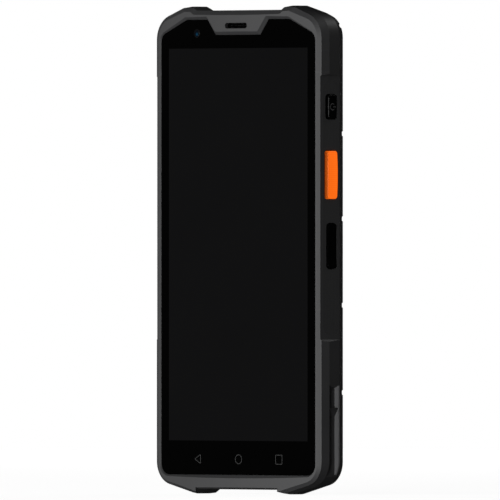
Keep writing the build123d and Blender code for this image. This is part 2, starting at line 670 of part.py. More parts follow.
with BuildPart() as rear_housing:
    with BuildSketch(at_depth(SIDE_END_DEPTH)):
        add(BODY_OUTLINE)
    extrude(amount=SIDE_END_DEPTH - PARTING_DEPTH)
    levels = [(SIDE_END_DEPTH, 0.0, 0.0)] + BACK_LEVELS
    for pair in zip(levels, levels[1:]):
        for depth, inset, foot_inset in pair:
            with BuildSketch(at_depth(depth)):
                add(case_outline(shrunk(BODY_POINTS, inset, inset, foot_inset), 8.2 - inset, 8.5 - inset))
        loft(ruled=True)
    # inner space
    with BuildSketch(at_depth(9.6)):
        add(face_box(-CAVITY_HALF_WIDTH, CAVITY_HALF_WIDTH, CAVITY_TOP, CAVITY_BOTTOM, 6.0))
    extrude(amount=9.6 - PARTING_DEPTH, mode=Mode.SUBTRACT)
    with BuildSketch(at_depth(BACK_WALL_DEPTH)):
        add(face_box(-31.6, 31.6, CAVITY_TOP + 0.2, CAVITY_BOTTOM - 1.6, 5.0))
    extrude(amount=BACK_WALL_DEPTH - 9.6, mode=Mode.SUBTRACT)
    # battery bay with its cover seat
    with BuildSketch(at_depth(COVER_SEAT)):
        add(face_box(-BAY_HALF_WIDTH - 1.0, BAY_HALF_WIDTH + 1.0, BAY_TOP - 1.0, BAY_BOTTOM + 1.0, 2.0))
    extrude(amount=COVER_SEAT - BAY_FLOOR_FRONT)
    # posts for the screws, the lower board and the cover locks
    with BuildSketch(at_depth(BACK_WALL_DEPTH)):
        add(face_discs(HOUSING_SCREWS, 3.0))
    extrude(amount=BACK_WALL_DEPTH - BOARD_FRONT)
    with BuildSketch(at_depth(BACK_WALL_DEPTH)):
        add(face_discs(both_sides([SUB_BOARD_SCREW]), 1.8))
    extrude(amount=BACK_WALL_DEPTH - 8.6)
    with BuildSketch(at_depth(COVER_SEAT)):
        add(face_discs(both_sides([(LOCK_X, LOCK_TOP)]), 3.9))
    extrude(amount=COVER_SEAT - 9.2)
    with BuildSketch(at_depth(PLATEAU_DEPTH)):
        add(face_box(-31.9, 31.9, COVER_TOP - 0.3, COVER_BOTTOM + 0.3, 4.2))
    extrude(amount=PLATEAU_DEPTH - COVER_SEAT, mode=Mode.SUBTRACT)
    with BuildSketch(at_depth(PLATEAU_DEPTH)):
        add(face_box(-BAY_HALF_WIDTH, BAY_HALF_WIDTH, BAY_TOP, BAY_BOTTOM, 2.4))
    extrude(amount=PLATEAU_DEPTH - BAY_FLOOR_BACK, mode=Mode.SUBTRACT)
    with BuildSketch(at_depth(COVER_SEAT)):
        add(BAY_RIM)
    extrude(amount=0.4, mode=Mode.SUBTRACT)
    with BuildSketch(at_depth(COVER_SEAT)):
        add(face_discs(both_sides([(LOCK_X, LOCK_TOP)]), 2.9))
    extrude(amount=COVER_SEAT - 10.2, mode=Mode.SUBTRACT)
    with BuildSketch(at_depth(BAY_FLOOR_BACK)):
        add(face_box(-8.0, 8.0, 62.6, 66.4, 0.8))
    extrude(amount=1.0, mode=Mode.SUBTRACT)
    # screw holes
    with BuildSketch(at_depth(PLATEAU_DEPTH)):
        add(face_discs(HOUSING_SCREWS, 2.6))
    extrude(amount=PLATEAU_DEPTH - SCREW_HEAD_FRONT, mode=Mode.SUBTRACT)
    with BuildSketch(at_depth(SCREW_HEAD_FRONT)):
        add(face_discs(HOUSING_SCREWS, 1.2))
    extrude(amount=SCREW_HEAD_FRONT - BOARD_FRONT, mode=Mode.SUBTRACT)
    with BuildSketch(at_depth(10.8)):
        add(face_discs(both_sides([SUB_BOARD_SCREW]), 0.72))
    extrude(amount=10.8 - 8.6, mode=Mode.SUBTRACT)
    # back openings: loudspeaker slots, its mesh step, camera and flash
    with BuildSketch(at_depth(PLATEAU_DEPTH)):
        for offset_top in (21.9, 23.5, 25.1):
            add(face_box(-26.5, -15.5, offset_top - 0.45, offset_top + 0.45, 0.44))
        add(face_discs([(10.0, 30.0)], 3.8))
    extrude(amount=PLATEAU_DEPTH - BACK_WALL_DEPTH, mode=Mode.SUBTRACT)
    with BuildSketch(at_depth(BACK_WALL_DEPTH + 0.3)):
        add(face_box(-27.1, -14.9, 20.9, 26.1, 1.2))
    extrude(amount=0.3, mode=Mode.SUBTRACT)
    with BuildSketch(at_depth(PLATEAU_DEPTH)):
        add(face_discs([(22.0, 30.0)], 2.1))
    extrude(amount=PLATEAU_DEPTH - 12.8, mode=Mode.SUBTRACT)
    # dock contacts in the lower back
    with BuildSketch(at_depth(PLATEAU_DEPTH)):
        add(face_box(-9.1, 9.1, 144.3, 147.7, 1.0))
    extrude(amount=PLATEAU_DEPTH - BACK_DEPTH + 0.8, mode=Mode.SUBTRACT)
    with BuildSketch(at_depth(BACK_DEPTH)):
        add(face_discs([(-6.0, 146.0), (-2.0, 146.0), (2.0, 146.0), (6.0, 146.0)], 0.8))
    extrude(amount=BACK_DEPTH - BACK_WALL_DEPTH + 0.5, mode=Mode.SUBTRACT)
    # scan window in the top
    with BuildSketch(Plane.XY.offset(z_at(2.9))):
        with Locations((0, y_at(6.2))):
            RectangleRounded(18.6, 5.4, 1.1)
    extrude(amount=4.0, mode=Mode.SUBTRACT)
    with BuildSketch(Plane.XY.offset(z_at(4.5))):
        with Locations((0, y_at(6.2))):
            RectangleRounded(16.4, 3.6, 0.8)
    extrude(amount=4.0, mode=Mode.SUBTRACT)
    # USB recess, its opening, the hinge holes and the microphone hole
    with BuildSketch(Plane.XY.offset(-0.5)):
        with Locations((0, (y_at(3.95) + y_at(10.3)) / 2)):
            Rectangle(14.0, 10.3 - 3.95)
    extrude(amount=4.1, mode=Mode.SUBTRACT)
    with BuildSketch(Plane.XY):
        with Locations((0, y_at(6.2))):
            RectangleRounded(9.2, 3.4, 1.2)
    extrude(amount=5.5, mode=Mode.SUBTRACT)
    with BuildSketch(Plane.YZ.offset(-8.5)):
        with Locations((y_at(FLAP_AXIS_DEPTH), FLAP_AXIS_Z)):
            Circle(0.46)
    extrude(amount=17.0, mode=Mode.SUBTRACT)
    with BuildSketch(Plane.XY):
        with Locations((11.0, y_at(7.2))):
            Circle(0.5)
    extrude(amount=5.0, mode=Mode.SUBTRACT)
    for side in (1, -1):
        # shallow round notches across the rear edge
        for start_x, top in REAR_NOTCHES:
            start = (side * start_x, y_at(9.0), z_at(top))
            with BuildSketch(Plane(origin=start, x_dir=(0, 0, 1), z_dir=(-side, 1, 0))):
                Circle(1.1)
            extrude(amount=6.6, mode=Mode.SUBTRACT)
        with BuildSketch(at_depth(SIDE_END_DEPTH)):
            add(rail_area(side))
        extrude(amount=SIDE_END_DEPTH - PARTING_DEPTH, mode=Mode.SUBTRACT)
        with BuildSketch(waist_plane(side)):
            add(waist_area())
        extrude(amount=3.0, taper=-40, mode=Mode.SUBTRACT)
        with BuildSketch(waist_plane(side)):
            add(grip_area())
        extrude(amount=-GRIP_THICKNESS, mode=Mode.SUBTRACT)
        with BuildSketch(Plane.YZ.offset(side * RECESS_FLOOR_X)):
            add(key_areas(side))
        extrude(amount=side * 5.0, mode=Mode.SUBTRACT)
        with BuildSketch(Plane.YZ.offset(side * 33.0)):
            add(stem_areas(side, STEM_SLACK))
        extrude(amount=side * 3.0, mode=Mode.SUBTRACT)
rear_housing.part.label = "rear_housing"
export_step(rear_housing.part, "parts/rear_housing.step")

with BuildPart() as rail_strip_right:
    with BuildSketch(at_depth(SIDE_END_DEPTH)):
        add(rail_area(1))
        add(BODY_OUTLINE, mode=Mode.INTERSECT)
        with Locations((HALF_WIDTH, z_at(133.5))):
            Rectangle(12.0, 31.0, mode=Mode.INTERSECT)
    extrude(amount=RAIL_STRIP)
rail_strip_right.part.label = "rail_strip_right"
export_step(rail_strip_right.part, "parts/rail_strip_right.step")

with BuildPart() as rail_strip_left:
    mirror(rail_strip_right.part, about=Plane.YZ)
rail_strip_left.part.label = "rail_strip_left"
export_step(rail_strip_left.part, "parts/rail_strip_left.step")

with BuildPart() as housing_seal:
    with BuildSketch(at_depth(PARTING_DEPTH)):
        add(HOUSING_SEAL)
    extrude(amount=0.5)
housing_seal.part.label = "housing_seal"
export_step(housing_seal.part, "parts/housing_seal.step")

with BuildPart() as housing_screws:
    with BuildSketch(at_depth(SCREW_HEAD_FRONT + 1.6)):
        add(face_discs(HOUSING_SCREWS, 2.2))
    extrude(amount=1.6)
    with BuildSketch(at_depth(SCREW_HEAD_FRONT)):
        add(face_discs(HOUSING_SCREWS, 0.98))
    extrude(amount=SCREW_HEAD_FRONT - 3.2)
    with BuildSketch(at_depth(SCREW_HEAD_FRONT + 1.6)):
        with Locations([(x, z_at(top)) for x, top in HOUSING_SCREWS]):
            RegularPolygon(1.1, 6)
    extrude(amount=0.9, mode=Mode.SUBTRACT)
housing_screws.part.label = "housing_screws"
export_step(housing_screws.part, "parts/housing_screws.step")

with BuildPart() as side_grip_right:
    with BuildSketch(waist_plane(1)):
        add(grip_area())
    extrude(amount=-GRIP_THICKNESS)
    with BuildSketch(Plane.YZ.offset(RECESS_FLOOR_X)):
        add(key_areas(1))
    extrude(amount=5.0, mode=Mode.SUBTRACT)
side_grip_right.part.label = "side_grip_right"
export_step(side_grip_right.part, "parts/side_grip_right.step")

with BuildPart() as side_grip_left:
    with BuildSketch(waist_plane(-1)):
        add(grip_area())
    extrude(amount=-GRIP_THICKNESS)
    with BuildSketch(Plane.YZ.offset(-RECESS_FLOOR_X)):
        add(key_areas(-1))
    extrude(amount=-5.0, mode=Mode.SUBTRACT)
side_grip_left.part.label = "side_grip_left"
export_step(side_grip_left.part, "parts/side_grip_left.step")

with BuildPart() as power_key:
    with BuildSketch(Plane.YZ.offset(36.1)):
        add(side_box(2.75, 6.3, 28.4, 36.05, 0.9))
    extrude(amount=1.9)
    cap = power_key.faces().sort_by(Axis.X)[-1]
    fillet(cap.edges(), radius=0.3)
    with BuildSketch(Plane.YZ.offset(33.9)):
        for top, bottom in POWER_STEMS:
            add(side_box(STEM_FRONT, STEM_BACK, top, bottom))
    extrude(amount=2.2)
power_key.part.label = "power_key"
export_step(power_key.part, "parts/power_key.step")

with BuildPart() as scan_key_right:
    with BuildSketch(Plane.YZ.offset(36.1)):
        add(side_box(2.65, 6.6, 46.2, 61.4, 0.9))
    extrude(amount=3.0)
    # the crowned outer face leans with the waist, lower at the front
    with BuildSketch(at_depth(7.0)):
        with BuildLine():
            ThreePointArc((38.05, z_at(46.2)), (38.35, z_at(53.8)), (38.05, z_at(61.4)))
            Polyline((38.05, z_at(61.4)), (30.0, z_at(61.4)), (30.0, z_at(46.2)), (38.05, z_at(46.2)))
        make_face()
    extrude(amount=6.0, dir=(-0.09, -1, 0), mode=Mode.INTERSECT)
    cap = scan_key_right.faces().sort_by(Axis.X)[-1]
    fillet(cap.edges(), radius=0.3)
    with BuildSketch(Plane.YZ.offset(34.0)):
        for top, bottom in SCAN_STEMS:
            add(side_box(STEM_FRONT, STEM_BACK, top, bottom))
    extrude(amount=2.2)
scan_key_right.part.label = "scan_key_right"
export_step(scan_key_right.part, "parts/scan_key_right.step")

with BuildPart() as scan_key_left:
    mirror(scan_key_right.part, about=Plane.YZ)
scan_key_left.part.label = "scan_key_left"
export_step(scan_key_left.part, "parts/scan_key_left.step")

with BuildPart() as volume_rocker:
    with BuildSketch(Plane.YZ.offset(36.2)):
        add(side_box(2.8, 6.3, 69.3, 83.4, 0.9))
    extrude(amount=2.0)
    with BuildSketch(at_depth(7.0)):
        with BuildLine():
            ThreePointArc((37.85, z_at(69.3)), (37.7, z_at(76.35)), (37.85, z_at(83.4)))
            Polyline((37.85, z_at(83.4)), (30.0, z_at(83.4)), (30.0, z_at(69.3)), (37.85, z_at(69.3)))
        make_face()
    extrude(amount=6.0, dir=(-0.07, -1, 0), mode=Mode.INTERSECT)
    with BuildSketch(Plane.YZ.offset(33.9)):
        for top, bottom in VOLUME_STEMS:
            add(side_box(STEM_FRONT, STEM_BACK, top, bottom))
    extrude(amount=2.4)
    # the round rib that the rocker tilts on
    with BuildSketch(at_depth(6.0)):
        add(face_discs([ROCKER_PIVOT], 0.5))
    extrude(amount=3.2)
volume_rocker.part.label = "volume_rocker"
export_step(volume_rocker.part, "parts/volume_rocker.step")

with BuildPart() as key_seals:
    for side in (1, -1):
        with BuildSketch(Plane.YZ.offset(side * RECESS_FLOOR_X)):
            add(key_areas(side))
            add(stem_areas(side, 0.35), mode=Mode.SUBTRACT)
        extrude(amount=side * 0.2)
key_seals.part.label = "key_seals"
export_step(key_seals.part, "parts/key_seals.step")

with BuildPart() as key_board_right:
    with BuildSketch(Plane.YZ.offset(31.9)):
        add(side_box(CHASSIS_BACK, 7.6, 26.0, 86.0))
    extrude(amount=0.5)
key_board_right.part.label = "key_board_right"
export_step(key_board_right.part, "parts/key_board_right.step")

with BuildPart() as key_board_left:
    with BuildSketch(Plane.YZ.offset(-31.9)):
        add(side_box(CHASSIS_BACK, 7.6, 44.0, 64.0))
    extrude(amount=-0.5)
key_board_left.part.label = "key_board_left"
export_step(key_board_left.part, "parts/key_board_left.step")

with BuildPart() as side_switches:
    for side in (1, -1):
        with BuildSketch(Plane.YZ.offset(side * 32.4)):
            stems = SCAN_STEMS
            if side > 0:
                stems = POWER_STEMS + SCAN_STEMS + VOLUME_STEMS
            for top, bottom in stems:
                middle = (top + bottom) / 2
                add(side_box(4.1, 6.3, middle - 1.5, middle + 1.5, 0.3))
        extrude(amount=side * 0.6)
        with BuildSketch(Plane.YZ.offset(side * 33.0)):
            for top, bottom in stems:
                middle = (top + bottom) / 2
                with Locations((y_at(4.9), z_at(middle))):
                    Circle(0.7)
        extrude(amount=side * 0.3)
side_switches.part.label = "side_switches"
export_step(side_switches.part, "parts/side_switches.step")

with BuildPart() as battery_cover:
    with BuildSketch(at_depth(PLATEAU_DEPTH)):
        add(face_box(-COVER_HALF_WIDTH, COVER_HALF_WIDTH, COVER_TOP, COVER_BOTTOM, 3.9))
    extrude(amount=PLATEAU_DEPTH - COVER_FRONT)
    outer = battery_cover.faces().sort_by(Axis.Y)[-1]
    chamfer(outer.edges(), length=0.7)
    with BuildSketch(at_depth(PLATEAU_DEPTH)):
        add(face_discs(both_sides([(LOCK_X, LOCK_TOP)]), 3.5))
    extrude(amount=0.8, mode=Mode.SUBTRACT)
    with BuildSketch(at_depth(PLATEAU_DEPTH)):
        add(face_discs(both_sides([(LOCK_X, LOCK_TOP)]), 1.7))
    extrude(amount=2.0, mode=Mode.SUBTRACT)
    # shallow finger grooves near the top end
    with BuildSketch(at_depth(PLATEAU_DEPTH)):
        for number in range(5):
            add(face_box(-18.0, 18.0, 66.0 + 3.0 * number, 67.4 + 3.0 * number, 0.69))
    extrude(amount=0.35, mode=Mode.SUBTRACT)
battery_cover.part.label = "battery_cover"
export_step(battery_cover.part, "parts/battery_cover.step")

with BuildPart() as battery_cells:
    with BuildSketch(at_depth(COVER_FRONT)):
        add(face_box(-29.1, 29.1, 62.0, 134.0, 2.0))
    extrude(amount=COVER_FRONT - 5.6)
    with BuildSketch(at_depth(5.8)):
        for x in (-6.0, -3.0, 0.0, 3.0, 6.0):
            add(face_box(x - 0.9, x + 0.9, 63.2, 65.8, 0.3))
    extrude(amount=0.5, mode=Mode.SUBTRACT)
battery_cells.part.label = "battery_cells"
export_step(battery_cells.part, "parts/battery_cells.step")

with BuildPart() as battery_pads:
    with BuildSketch(at_depth(5.8)):
        for x in (-6.0, -3.0, 0.0, 3.0, 6.0):
            add(face_box(x - 0.9, x + 0.9, 63.2, 65.8, 0.3))
    extrude(amount=0.2)
battery_pads.part.label = "battery_pads"
export_step(battery_pads.part, "parts/battery_pads.step")

with BuildPart() as battery_terminal:
    with BuildSketch(at_depth(BAY_FLOOR_BACK)):
        add(face_box(-8.0, 8.0, 62.6, 66.4, 0.8))
    extrude(amount=0.9)
    with BuildSketch(at_depth(5.35)):
        for x in (-6.0, -3.0, 0.0, 3.0, 6.0):
            add(face_box(x - 0.4, x + 0.4, 63.7, 65.3, 0.2))
    extrude(amount=0.15)
battery_terminal.part.label = "battery_terminal"
export_step(battery_terminal.part, "parts/battery_terminal.step")

with BuildPart() as battery_seal:
    with BuildSketch(at_depth(COVER_SEAT)):
        add(BAY_RIM)
    extrude(amount=0.4)
battery_seal.part.label = "battery_seal"
export_step(battery_seal.part, "parts/battery_seal.step")

for side, lock_name in ((1, "cover_lock_right"), (-1, "cover_lock_left")):
    with BuildPart() as cover_lock:
        with BuildSketch(at_depth(PLATEAU_DEPTH)):
            add(face_discs([(side * LOCK_X, LOCK_TOP)], 3.42))
        extrude(amount=0.55)
        with BuildSketch(at_depth(PLATEAU_DEPTH)):
            with Locations((side * LOCK_X, z_at(LOCK_TOP))):
                Rectangle(5.2, 1.0)
        extrude(amount=0.35, mode=Mode.SUBTRACT)
        with BuildSketch(at_depth(13.45)):
            add(face_discs([(side * LOCK_X, LOCK_TOP)], 1.62))
        extrude(amount=13.45 - 10.6)
        with BuildSketch(at_depth(12.35)):
            add(face_discs([(side * LOCK_X, LOCK_TOP)], 2.3))
        extrude(amount=0.55)
    cover_lock.part.label = lock_name
    export_step(cover_lock.part, f"parts/{lock_name}.step")
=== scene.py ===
import math

import bpy
import numpy as np
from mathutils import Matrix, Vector


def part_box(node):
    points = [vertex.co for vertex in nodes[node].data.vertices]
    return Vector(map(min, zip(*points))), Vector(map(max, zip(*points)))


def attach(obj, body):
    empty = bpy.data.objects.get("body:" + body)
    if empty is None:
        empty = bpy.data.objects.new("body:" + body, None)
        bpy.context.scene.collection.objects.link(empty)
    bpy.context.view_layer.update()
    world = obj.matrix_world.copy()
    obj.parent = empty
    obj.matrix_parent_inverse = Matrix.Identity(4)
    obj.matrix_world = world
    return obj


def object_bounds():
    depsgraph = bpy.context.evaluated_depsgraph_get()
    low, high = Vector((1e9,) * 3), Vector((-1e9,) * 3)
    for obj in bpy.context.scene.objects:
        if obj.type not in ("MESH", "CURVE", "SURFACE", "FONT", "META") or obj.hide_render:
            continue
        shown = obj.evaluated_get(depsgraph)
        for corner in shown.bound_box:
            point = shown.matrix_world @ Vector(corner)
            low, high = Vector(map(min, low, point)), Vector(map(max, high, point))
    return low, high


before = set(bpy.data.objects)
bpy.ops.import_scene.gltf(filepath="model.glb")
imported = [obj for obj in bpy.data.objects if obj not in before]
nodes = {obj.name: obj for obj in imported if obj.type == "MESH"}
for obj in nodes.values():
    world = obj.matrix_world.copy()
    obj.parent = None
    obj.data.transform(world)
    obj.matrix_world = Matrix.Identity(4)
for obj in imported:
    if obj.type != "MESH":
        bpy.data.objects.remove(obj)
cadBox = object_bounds()
mm = 0.001
print("frame loaded:", len(nodes), "nodes")


# ---- camera, lights and floor

view = {
    "azimuth": 45.0,        # degrees round from the screen side, towards the orange key
    "lens": 1650.0,         # a long lens, so upright edges stay upright
    "sensor": 36.0,
    "clip": (0.1, 60.0),    # nearest and furthest distance seen, in metres
    "imageHeight": 0.1591,  # metres of object that the picture takes in
    "aimAcross": -0.79 * mm,  # sideways aim along the picture, from the origin
}


def placeCamera(setup):
    # distance = image height * lens / sensor; the camera looks level at the middle of the object's height
    low, high = cadBox
    distance = setup["imageHeight"] * setup["lens"] / setup["sensor"]
    turn = math.radians(setup["azimuth"])
    back = Vector((math.sin(turn), -math.cos(turn), 0.0))
    across = Vector((math.cos(turn), math.sin(turn), 0.0))
    aim = across * setup["aimAcross"] + Vector((0, 0, (low.z + high.z) / 2))
    data = bpy.data.cameras.new("camera")
    data.lens, data.sensor_width = setup["lens"], setup["sensor"]
    data.clip_start, data.clip_end = setup["clip"]
    camera = bpy.data.objects.new("camera", data)
    camera.location = aim + back * distance
    camera.rotation_mode = "QUATERNION"
    camera.rotation_quaternion = (-back).to_track_quat("-Z", "Y")
    bpy.context.scene.collection.objects.link(camera)
    bpy.context.scene.camera = camera


# azimuth and elevation in degrees, distance and size in metres, power in watts
# a lamp that lights nothing only makes highlights, and one that is not mirrored makes none
lightPlan = {
    "frontKey": {"azimuth": -18, "elevation": -4, "distance": 1.4, "size": (0.28, 0.7),
                 "power": 11.8, "lights": True, "mirrored": True},
    "rightFill": {"azimuth": 30, "elevation": -1, "distance": 1.8, "size": (0.4, 1.0),
                  "power": 11.8, "lights": True, "mirrored": True},
    "cornerGlint": {"azimuth": 144, "elevation": 50, "distance": 1.5, "size": (0.4, 0.25),
                    "power": 4.0, "lights": False, "mirrored": True},
    "leftFill": {"azimuth": -110, "elevation": -4, "distance": 1.8, "size": (0.8, 0.8),
                 "power": 3.5, "lights": True, "mirrored": False},
    "rearFill": {"azimuth": -165, "elevation": -2, "distance": 1.8, "size": (0.9, 0.9),
                 "power": 13.0, "lights": True, "mirrored": False},
}


def placeLights(plan, target):
    # each lamp stands on a sphere round the target, at its azimuth and elevation, and faces the target
    for name, one in plan.items():
        data = bpy.data.lights.new(name, "AREA")
        data.shape = "RECTANGLE"
        data.size, data.size_y = one["size"]
        data.energy = one["power"]
        lamp = bpy.data.objects.new(name, data)
        turn, rise = math.radians(one["azimuth"]), math.radians(one["elevation"])
        away = Vector((math.sin(turn) * math.cos(rise), -math.cos(turn) * math.cos(rise), math.sin(rise)))
        lamp.location = target + away * one["distance"]
        lamp.rotation_mode = "QUATERNION"
        lamp.rotation_quaternion = (-away).to_track_quat("-Z", "Y")
        lamp.visible_camera = False
        lamp.visible_diffuse = one["lights"]
        lamp.visible_glossy = one["mirrored"]
        bpy.context.scene.collection.objects.link(lamp)


backdrop = {"seen": 1.0, "bounced": 0.03, "mirrored": 0.012}


def makeWorld(setup):
    # white where it is looked at, dimmer where it lights or is mirrored, so black glass stays black
    world = bpy.data.worlds.new("studio")
    world.use_nodes = True
    tree = world.node_tree
    tree.nodes.clear()
    path = tree.nodes.new("ShaderNodeLightPath")
    out = tree.nodes.new("ShaderNodeOutputWorld")
    shaders = {}
    for key, strength in setup.items():
        shaders[key] = tree.nodes.new("ShaderNodeBackground")
        shaders[key].inputs["Color"].default_value = (1, 1, 1, 1)
        shaders[key].inputs["Strength"].default_value = strength
    first = tree.nodes.new("ShaderNodeMixShader")
    second = tree.nodes.new("ShaderNodeMixShader")
    tree.links.new(path.outputs["Is Glossy Ray"], first.inputs[0])
    tree.links.new(shaders["bounced"].outputs[0], first.inputs[1])
    tree.links.new(shaders["mirrored"].outputs[0], first.inputs[2])
    tree.links.new(path.outputs["Is Camera Ray"], second.inputs[0])
    tree.links.new(first.outputs[0], second.inputs[1])
    tree.links.new(shaders["seen"].outputs[0], second.inputs[2])
    tree.links.new(second.outputs[0], out.inputs["Surface"])
    bpy.context.scene.world = world


placeCamera(view)
placeLights(lightPlan, Vector((0, 0, cadBox[1].z / 2)))
makeWorld(backdrop)
bpy.context.scene.view_settings.view_transform = "Standard"
print("camera, lights and backdrop placed")


# ---- mesh makers

def meshObject(name, points, faces, smooth=False):
    data = bpy.data.meshes.new(name)
    data.from_pydata(points.tolist(), [], faces)
    data.polygons.foreach_set("use_smooth", np.full(len(data.polygons), smooth))
    data.update()
    piece = bpy.data.objects.new(name, data)
    bpy.context.scene.collection.objects.link(piece)
    return piece


def gridFaces(rows, columns, wrapRows=False, wrapColumns=False):
    # quads between neighbouring points of a rows x columns grid
    # a wrapped side joins its last line of points to its first
    rowStarts = np.arange(rows if wrapRows else rows - 1)
    columnStarts = np.arange(columns if wrapColumns else columns - 1)
    r, c = np.meshgrid(rowStarts, columnStarts, indexing="ij")
    nextR, nextC = (r + 1) % rows, (c + 1) % columns
    corners = [r * columns + c, r * columns + nextC, nextR * columns + nextC, nextR * columns + c]
    return np.stack(corners, -1).reshape(-1, 4)


def beadShape(path, outward, side, width, height, closed=True):
    # a flat-topped bead: each path point carries the same profile, across by `side` and out by `outward`
    # the profile is eight points of a circle, stretched by 1.2 and clipped to a square with cut corners
    angle = np.linspace(0, 2 * np.pi, 9)[:-1] + np.pi / 8
    profileAcross = np.clip(np.cos(angle) * 1.2, -1, 1) * width / 2
    profileOut = np.clip(np.sin(angle) * 1.2, -1, 1) * height / 2
    points = (path[:, None, :] + side[:, None, :] * profileAcross[None, :, None]
              + outward[None, None, :] * profileOut[None, :, None])
    rows, columns = points.shape[:2]
    faces = gridFaces(rows, columns, wrapRows=closed, wrapColumns=True).tolist()
    if not closed:
        faces += [list(range(columns))[::-1], [(rows - 1) * columns + i for i in range(columns)]]
    return points.reshape(-1, 3), faces


def beadObject(name, shapes):
    # one object of several beads: the faces of each bead count on from the points before it
    points, faces, start = [], [], 0
    for beadPoints, beadFaces in shapes:
        points.append(beadPoints)
        faces += [[start + i for i in face] for face in beadFaces]
        start += len(beadPoints)
    piece = meshObject(name, np.concatenate(points), faces)
    turnOutwards(piece)
    return piece


def turnOutwards(piece):
    # signed volume by the divergence formula; a negative one means that every face is flipped
    data = piece.data
    data.calc_loop_triangles()
    points = np.zeros(len(data.vertices) * 3)
    data.vertices.foreach_get("co", points)
    points = points.reshape(-1, 3)
    triangles = np.zeros(len(data.loop_triangles) * 3, dtype=np.int64)
    data.loop_triangles.foreach_get("vertices", triangles)
    a, b, c = (points[triangles.reshape(-1, 3)[:, i]] - points.mean(0) for i in range(3))
    if np.einsum("ij,ij->i", a, np.cross(b, c)).sum() < 0:
        data.flip_normals()


def roundedPolygon(corners, radius, steps=6):
    # closed path: each corner becomes an arc tangent to its two sides
    # returns the points and the direction across the path at each of them
    corners = np.asarray(corners, float)
    before, after = np.roll(corners, 1, 0) - corners, np.roll(corners, -1, 0) - corners
    before /= np.linalg.norm(before, axis=1)[:, None]
    after /= np.linalg.norm(after, axis=1)[:, None]
    half = np.arccos(np.clip((before * after).sum(1), -1, 1)) / 2
    bisector = before + after
    bisector /= np.linalg.norm(bisector, axis=1)[:, None]
    centre = corners + bisector * (radius / np.sin(half))[:, None]
    startFoot = corners + before * (radius / np.tan(half))[:, None] - centre
    endFoot = corners + after * (radius / np.tan(half))[:, None] - centre
    a0 = np.arctan2(startFoot[:, 1], startFoot[:, 0])
    a1 = np.arctan2(endFoot[:, 1], endFoot[:, 0])
    sweep = (a1 - a0 + np.pi) % (2 * np.pi) - np.pi
    angle = a0[:, None] + sweep[:, None] * np.linspace(0, 1, steps)[None, :]
    points = centre[:, None, :] + radius * np.stack([np.cos(angle), np.sin(angle)], -1)
    return points.reshape(-1, 2), np.stack([np.cos(angle), np.sin(angle)], -1).reshape(-1, 2)


def dome(name, centre, look, radius, height, circles, spokes):
    # a shallow dome that looks along Y, forwards or back: its height falls as a cosine from the middle to the
    # rim, and a cone sunk by a fifth of the height closes its base
    outward, across, along = np.array([0, look, 0]), np.array([1.0, 0, 0]), np.array([0, 0, -1.0 * look])
    u = np.linspace(0, 1, circles + 1)[1:]
    v = np.linspace(0, 2 * np.pi, spokes + 1)[:-1]
    uu, vv = np.meshgrid(u, v, indexing="ij")
    cap = np.stack([uu * np.cos(vv), uu * np.sin(vv), np.cos(uu * np.pi / 2)], -1).reshape(-1, 3)
    local = np.concatenate([[[0, 0, 1.0]], cap, [[0, 0, -0.2]]])
    points = (centre + across * local[:, :1] * radius + along * local[:, 1:2] * radius
              + outward * local[:, 2:] * height)
    spoke = np.arange(spokes)
    nextSpoke = (spoke + 1) % spokes
    top = np.stack([np.zeros_like(spoke), 1 + spoke, 1 + nextSpoke], -1)
    lastCircle = 1 + (circles - 1) * spokes
    middle = np.full_like(spoke, circles * spokes + 1)
    base = np.stack([middle, lastCircle + nextSpoke, lastCircle + spoke], -1)
    quads = (gridFaces(circles, spokes, wrapColumns=True) + 1)[:, ::-1]
    piece = meshObject(name, points, top.tolist() + base.tolist() + quads.tolist(), smooth=True)
    turnOutwards(piece)
    return piece


# ---- shared surface effects

def newGroup(name, inputs, outputs):
    group = bpy.data.node_groups.new(name, "ShaderNodeTree")
    for label, value in inputs.items():
        socket = group.interface.new_socket(label, in_out="INPUT", socket_type="NodeSocketFloat")
        socket.default_value = value
    for label in outputs:
        group.interface.new_socket(label, in_out="OUTPUT", socket_type="NodeSocketFloat")
    return group, group.nodes.new("NodeGroupInput"), group.nodes.new("NodeGroupOutput")


def put(tree, kind, **values):
    node = tree.nodes.new(kind)
    for key, value in values.items():
        if key in node.inputs:
            node.inputs[key].default_value = value
        else:
            setattr(node, key, value)
    return node


def calc(tree, operation, *terms):
    node = put(tree, "ShaderNodeMath", operation=operation)
    for socket, term in zip(node.inputs, terms):
        if isinstance(term, (int, float)):
            socket.default_value = term
        else:
            tree.links.new(term, socket)
    return node.outputs[0]


def makeGrain():
    # moulded grain: distance to the middle of fine soft cells as height, and slow noise for gloss changes
    group, start, end = newGroup("mouldedGrain", {"Cells": 2600.0, "Drift": 60.0}, ["Height", "Mottle"])
    place = put(group, "ShaderNodeTexCoord").outputs["Object"]
    cells = put(group, "ShaderNodeTexVoronoi", feature="SMOOTH_F1")
    cells.inputs["Smoothness"].default_value = 0.6
    slow = put(group, "ShaderNodeTexNoise", Detail=4.0, Roughness=0.6)
    for node, key in ((cells, "Cells"), (slow, "Drift")):
        group.links.new(place, node.inputs["Vector"])
        group.links.new(start.outputs[key], node.inputs["Scale"])
    group.links.new(cells.outputs["Distance"], end.inputs["Height"])
    group.links.new(slow.outputs["Fac"], end.inputs["Mottle"])
    return group


